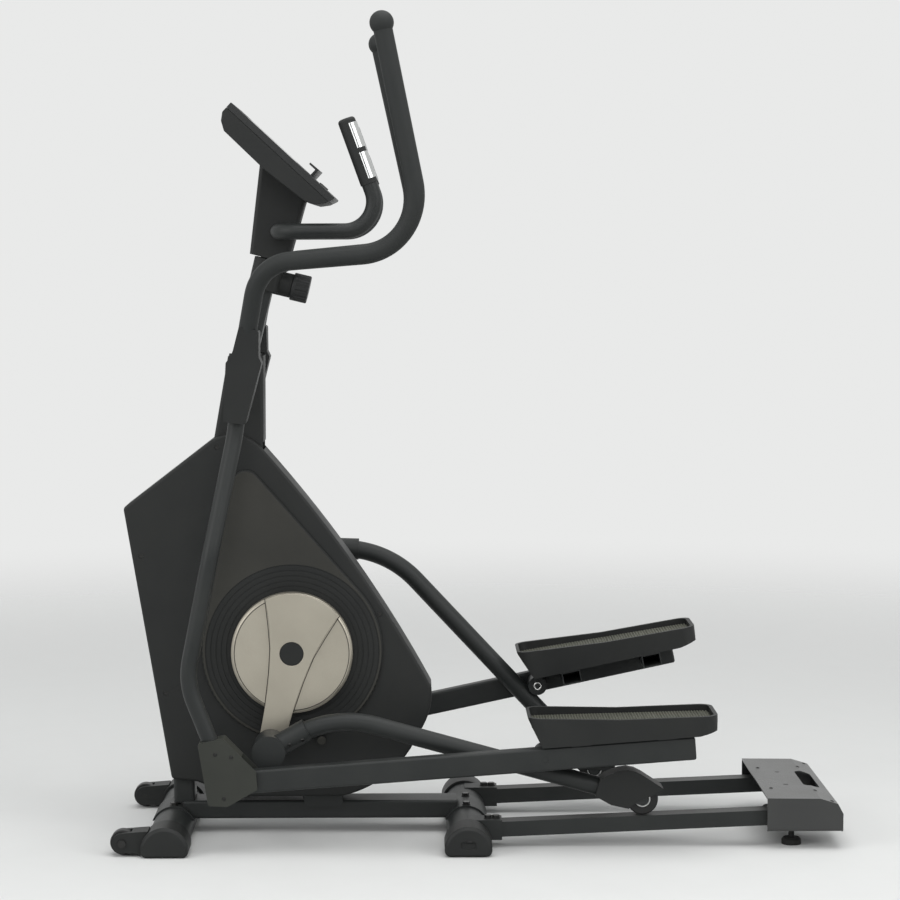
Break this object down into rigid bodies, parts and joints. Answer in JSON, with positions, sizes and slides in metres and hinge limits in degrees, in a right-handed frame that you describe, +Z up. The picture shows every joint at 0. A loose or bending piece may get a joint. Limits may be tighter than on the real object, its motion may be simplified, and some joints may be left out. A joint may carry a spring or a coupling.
{
  "type": "elliptical trainer",
  "caption": "Front-drive elliptical trainer with a covered crank, inclined rails, tray pedals on rolling arms, swinging handlebars, fixed pulse bar and tilted console.",
  "frame": {"origin": "on the floor at the middle of the footprint", "axes": "+Z up, +X to the rear of the machine, +Y to the right side of its user"},
  "size_m": [1.492, 0.64, 1.6894],
  "materials": {
    "frame_paint": "satin charcoal powder coat",
    "shell_plastic": "matte charcoal moulded plastic",
    "crank_silver": "satin silver moulded plastic",
    "handle_coat": "matte black soft-touch coat",
    "pad_rubber": "dark ribbed rubber",
    "wheel_plastic": "black hard plastic",
    "steel": "plain turned steel",
    "bolt_steel": "blackened steel",
    "flywheel_iron": "turned cast iron",
    "sensor_chrome": "polished plated metal",
    "lens": "dark clear plastic window"
  },
  "bodies": {
    "frame": {"main_frame": "frame_paint", "front_stabiliser": "frame_paint", "mid_stabiliser": "frame_paint", "front_caps": "shell_plastic", "mid_caps": "shell_plastic", "rails": "frame_paint", "rear_cross_tube": "frame_paint", "rear_cover": "shell_plastic", "left_casing": "shell_plastic", "right_casing": "shell_plastic", "mast_boot": "shell_plastic", "mast": "frame_paint", "tension_housing": "shell_plastic", "console_neck": "shell_plastic", "console_back": "shell_plastic", "console_frame": "shell_plastic", "display_lens": "lens", "pulse_handlebar": "frame_paint", "pulse_grips": "handle_coat", "pulse_sensors": "sensor_chrome", "swing_axle": "steel", "crank_bearings": "steel", "drive_belt": "pad_rubber", "fasteners": "bolt_steel"},
    "crank": {"crank_axle": "steel", "drive_pulley": "shell_plastic", "crank_discs": "crank_silver", "crank_arms": "crank_silver", "crank_caps": "shell_plastic"},
    "flywheel": {"flywheel": "flywheel_iron"},
    "magnet": {"magnet_bracket": "steel"},
    "knob": {"tension_knob": "shell_plastic"},
    "left_wheel": {"left_transport_wheel": "wheel_plastic"},
    "left_foot": {"left_levelling_foot": "pad_rubber"},
    "left_key": {"left_key": "shell_plastic"},
    "left_swing": {"left_swing_arm": "frame_paint", "left_swing_handle": "handle_coat", "left_pivot_cover": "shell_plastic", "left_joint_cover": "shell_plastic", "left_beam_pin": "steel"},
    "left_beam": {"left_pedal_beam": "frame_paint", "left_pedal": "shell_plastic", "left_pedal_pad": "pad_rubber"},
    "left_arm": {"left_roller_arm": "frame_paint", "left_roller_cover": "shell_plastic"},
    "left_roller": {"left_roller": "wheel_plastic"},
    "right_wheel": {"right_transport_wheel": "wheel_plastic"},
    "right_foot": {"right_levelling_foot": "pad_rubber"},
    "right_key": {"right_key": "shell_plastic"},
    "right_swing": {"right_swing_arm": "frame_paint", "right_swing_handle": "handle_coat", "right_pivot_cover": "shell_plastic", "right_joint_cover": "shell_plastic", "right_beam_pin": "steel"},
    "right_beam": {"right_pedal_beam": "frame_paint", "right_pedal": "shell_plastic", "right_pedal_pad": "pad_rubber"},
    "right_arm": {"right_roller_arm": "frame_paint", "right_roller_cover": "shell_plastic"},
    "right_roller": {"right_roller": "wheel_plastic"}
  },
  "joints": [
    {"name": "crank_spin", "type": "hinge", "parent": "frame", "child": "crank", "pos_m": [-0.385, 0, 0.388], "axis": [0, 1, 0], "continuous": true},
    {"name": "flywheel_spin", "type": "hinge", "parent": "frame", "child": "flywheel", "pos_m": [-0.43, 0, 0.59], "axis": [0, 1, 0], "continuous": true},
    {"name": "knob_turn", "type": "hinge", "parent": "frame", "child": "knob", "pos_m": [-0.43971, 0, 1.157], "axis": [0.9724, 0, -0.2334], "range_deg": [0, 300]},
    {"name": "magnet_turn", "type": "hinge", "parent": "frame", "child": "magnet", "pos_m": [-0.507, 0, 0.702], "axis": [0, 1, 0], "range_deg": [0, 5]},
    {"name": "left_swing", "type": "hinge", "parent": "frame", "child": "left_swing", "pos_m": [-0.481, -0.148, 0.985], "axis": [0, 1, 0], "range_deg": [-12, 12]},
    {"name": "left_pin_turn", "type": "hinge", "parent": "left_swing", "child": "left_beam", "pos_m": [-0.51631, -0.212, 0.14274], "axis": [0, 1, 0], "range_deg": [-12, 12]},
    {"name": "left_arm_turn", "type": "hinge", "parent": "left_beam", "child": "left_arm", "pos_m": [0.13293, -0.212, 0.19059], "axis": [0, -1, 0], "range_deg": [-4, 4]},
    {"name": "left_roller_spin", "type": "hinge", "parent": "left_arm", "child": "left_roller", "pos_m": [0.3347, -0.16, 0.09853], "axis": [0, 1, 0], "continuous": true},
    {"name": "left_wheel_spin", "type": "hinge", "parent": "frame", "child": "left_wheel", "pos_m": [-0.721, -0.226, 0.027], "axis": [0, 1, 0], "continuous": true},
    {"name": "left_foot_screw", "type": "slide", "parent": "frame", "child": "left_foot", "axis": [0, 0, -1], "range_m": [-0.005, 0.012]},
    {"name": "left_key_press", "type": "slide", "parent": "frame", "child": "left_key", "axis": [-0.6782, 0, -0.7349], "range_m": [0, 0.0015], "stiffness_N_per_m": 800},
    {"name": "right_swing", "type": "hinge", "parent": "frame", "child": "right_swing", "pos_m": [-0.481, 0.148, 0.985], "axis": [0, 1, 0], "range_deg": [-12, 12]},
    {"name": "right_pin_turn", "type": "hinge", "parent": "right_swing", "child": "right_beam", "pos_m": [-0.50186, 0.212, 0.14226], "axis": [0, 1, 0], "range_deg": [-12, 12]},
    {"name": "right_arm_turn", "type": "hinge", "parent": "right_beam", "child": "right_arm", "pos_m": [0.1346, 0.212, 0.27908], "axis": [0, -1, 0], "range_deg": [-4, 4]},
    {"name": "right_roller_spin", "type": "hinge", "parent": "right_arm", "child": "right_roller", "pos_m": [0.25889, 0.16, 0.09541], "axis": [0, 1, 0], "continuous": true},
    {"name": "right_wheel_spin", "type": "hinge", "parent": "frame", "child": "right_wheel", "pos_m": [-0.721, 0.226, 0.027], "axis": [0, 1, 0], "continuous": true},
    {"name": "right_foot_screw", "type": "slide", "parent": "frame", "child": "right_foot", "axis": [0, 0, -1], "range_m": [-0.005, 0.012]},
    {"name": "right_key_press", "type": "slide", "parent": "frame", "child": "right_key", "axis": [-0.6782, 0, -0.7349], "range_m": [0, 0.0015], "stiffness_N_per_m": 800}
  ],
  "couplings": [
    {"joint": "flywheel_spin", "follows": "crank_spin", "ratio": 7.3684},
    {"joint": "magnet_turn", "follows": "knob_turn", "ratio": 0.01667},
    {"joint": "right_swing", "follows": "left_swing", "ratio": -1},
    {"joint": "left_pin_turn", "follows": "left_swing", "ratio": -0.9845},
    {"joint": "right_pin_turn", "follows": "left_swing", "ratio": 0.9705},
    {"joint": "left_arm_turn", "follows": "left_swing", "ratio": -0.2845},
    {"joint": "right_arm_turn", "follows": "left_swing", "ratio": 0.2805},
    {"joint": "left_roller_spin", "follows": "left_swing", "ratio": -26.344},
    {"joint": "right_roller_spin", "follows": "left_swing", "ratio": 26.344}
  ]
}
